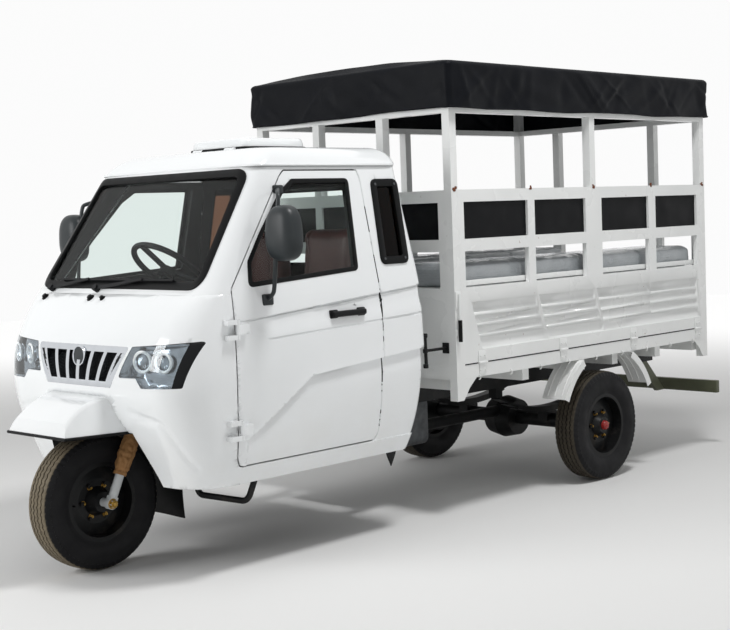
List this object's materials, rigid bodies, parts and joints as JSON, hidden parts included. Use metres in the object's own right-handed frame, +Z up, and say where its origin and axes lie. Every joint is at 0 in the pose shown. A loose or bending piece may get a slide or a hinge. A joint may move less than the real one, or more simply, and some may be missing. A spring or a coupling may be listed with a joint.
{
  "type": "enclosed cargo tricycle",
  "caption": "Enclosed cargo tricycle with a hinged-door cab over one steered front wheel and a canopied bench bed with lattice sides and a tailgate over a leaf-sprung rear axle.",
  "frame": {"origin": "on the floor, on the centre plane, midway between the bumper bar's back and the front tyre's front", "axes": "+X forward, +Y to the vehicle's left, +Z up"},
  "size_m": [4.21, 1.64, 2.1488],
  "materials": {
    "white_paint": "gloss",
    "black_steel": "satin",
    "black_plastic": "matte",
    "glass": "clear",
    "lamp": "clear",
    "tail_lamp": "gloss",
    "chrome": "polished",
    "tyre": "matte",
    "vinyl": "satin",
    "tarpaulin": "satin",
    "cushion": "satin",
    "seat_cover": "satin",
    "engine": "rough",
    "silver": "satin",
    "kraft_paper": "matte",
    "grey_paint": "satin"
  },
  "bodies": {
    "body": {"frame": "black_steel", "cab_floor": "black_steel", "cab_nose": "white_paint", "door_hinges": "white_paint", "windscreen_frame": "white_paint", "cab_side_left": "white_paint", "cab_side_right": "white_paint", "cab_back": "white_paint", "cab_roof": "white_paint", "cab_glass": "glass", "headlamps": "lamp", "grille": "chrome", "front_mudguard": "white_paint", "wipers": "black_plastic", "dashboard": "black_plastic", "steering_column": "black_plastic", "seats": "seat_cover", "side_steps": "black_steel", "bed_floor": "white_paint", "bed_cross_members": "white_paint", "headboard": "white_paint", "bed_side_left": "white_paint", "bed_side_right": "white_paint", "infill_panels": "vinyl", "bed_posts": "white_paint", "canopy_rails": "white_paint", "canopy_bows": "white_paint", "canopy": "tarpaulin", "benches": "white_paint", "bench_cushions": "cushion", "rear_panels": "white_paint", "rear_mudguards": "white_paint", "rear_axle": "black_steel", "leaf_springs": "black_steel", "engine": "engine", "driveshaft": "black_steel", "rear_bumper": "grey_paint", "tail_lamps": "tail_lamp"},
    "steering": {"fork": "silver", "fork_covers": "kraft_paper"},
    "front_wheel": {"front_rim": "black_steel", "front_tyre": "tyre"},
    "rear_left_wheel": {"rear_left_rim": "black_steel", "rear_left_tyre": "tyre"},
    "rear_right_wheel": {"rear_right_rim": "black_steel", "rear_right_tyre": "tyre"},
    "left_door": {"door_left": "white_paint", "door_glass_left": "glass", "mirror_left": "black_plastic", "handle_left": "black_plastic"},
    "right_door": {"door_right": "white_paint", "door_glass_right": "glass", "mirror_right": "black_plastic", "handle_right": "black_plastic"},
    "hatch": {"roof_hatch": "white_paint"},
    "gate": {"tailgate": "white_paint"},
    "steering_wheel": {"steering_wheel": "black_plastic"}
  },
  "joints": [
    {"name": "steer", "type": "hinge", "parent": "body", "child": "steering", "pos_m": [1.82, 0, 0.285], "axis": [-0.4226, 0, 0.9063], "range_deg": [-40, 40]},
    {"name": "front_wheel_roll", "type": "hinge", "parent": "steering", "child": "front_wheel", "pos_m": [1.82, 0, 0.285], "axis": [0, 1, 0], "continuous": true},
    {"name": "rear_left_wheel_roll", "type": "hinge", "parent": "body", "child": "rear_left_wheel", "pos_m": [-0.93, 0.597, 0.285], "axis": [0, 1, 0], "continuous": true},
    {"name": "rear_right_wheel_roll", "type": "hinge", "parent": "body", "child": "rear_right_wheel", "pos_m": [-0.93, -0.597, 0.285], "axis": [0, 1, 0], "continuous": true},
    {"name": "left_door_swing", "type": "hinge", "parent": "body", "child": "left_door", "pos_m": [1.567, 0.673, 1], "axis": [0, 0, -1], "range_deg": [0, 65]},
    {"name": "right_door_swing", "type": "hinge", "parent": "body", "child": "right_door", "pos_m": [1.567, -0.673, 1], "axis": [0, 0, 1], "range_deg": [0, 65]},
    {"name": "hatch_lift", "type": "hinge", "parent": "body", "child": "hatch", "pos_m": [1.092, 0, 1.741], "axis": [0, 1, 0], "range_deg": [0, 25]},
    {"name": "tailgate_drop", "type": "hinge", "parent": "body", "child": "gate", "pos_m": [-1.962, 0, 0.729], "axis": [0, -1, 0], "range_deg": [0, 90]},
    {"name": "steering_wheel_turn", "type": "hinge", "parent": "body", "child": "steering_wheel", "pos_m": [1.37, 0, 1.225], "axis": [-0.6428, 0, 0.766], "range_deg": [-320, 320]}
  ],
  "couplings": [
    {"joint": "steering_wheel_turn", "follows": "steer", "ratio": 8}
  ]
}
